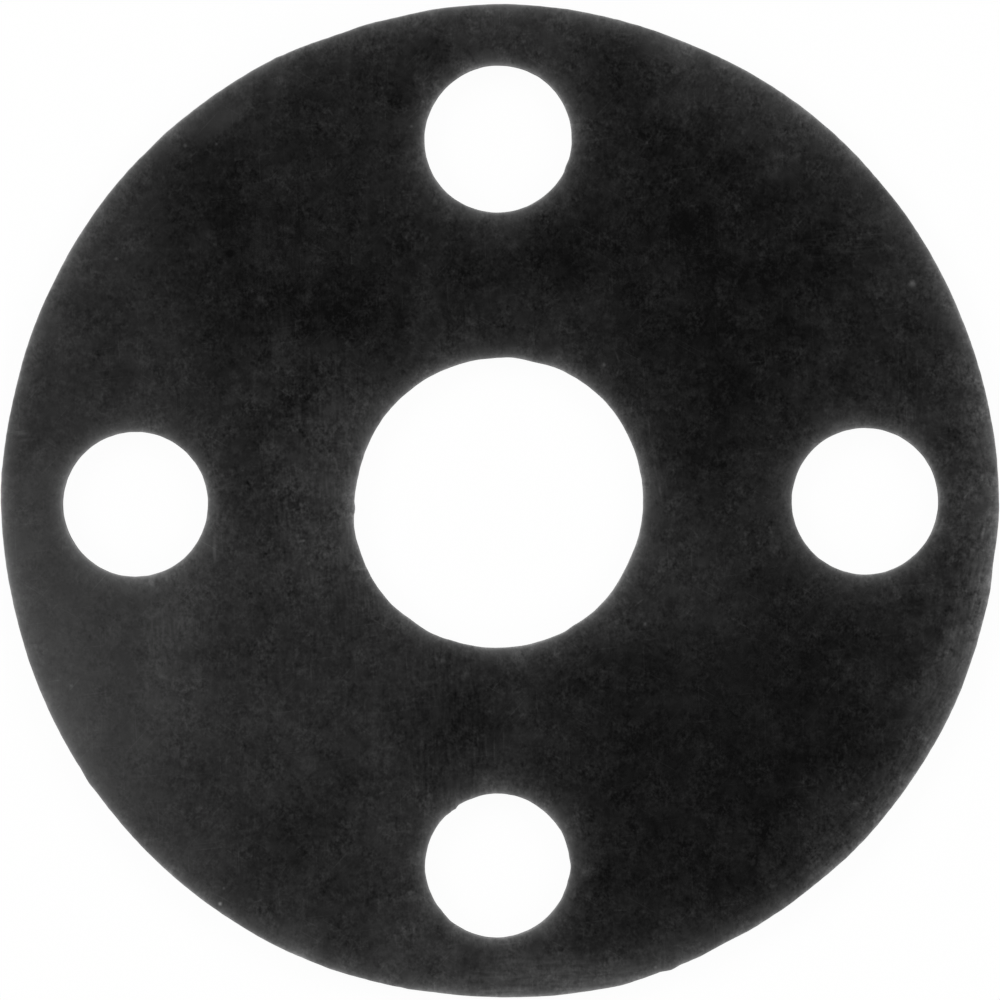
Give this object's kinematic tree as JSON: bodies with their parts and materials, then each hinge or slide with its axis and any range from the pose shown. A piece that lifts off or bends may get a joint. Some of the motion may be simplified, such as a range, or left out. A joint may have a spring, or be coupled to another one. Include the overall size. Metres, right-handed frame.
{
  "type": "rubber flange gasket",
  "caption": "Flat round full-face gasket of black sheet rubber, with a central bore and bolt holes, that seals the joint between two pipe flanges.",
  "frame": {"origin": "on the bore's axis, in the plane of the lower face", "axes": "+Z along the bore, out of the upper face; +X through the first bolt hole"},
  "size_m": [0.108, 0.108, 0.0032],
  "materials": {
    "black_sheet_rubber": "matte calendered sheet with knife-cut edges, faintly dusty and scuffed"
  },
  "bodies": {
    "root": {"flange_gasket": "black_sheet_rubber"}
  },
  "joints": []
}
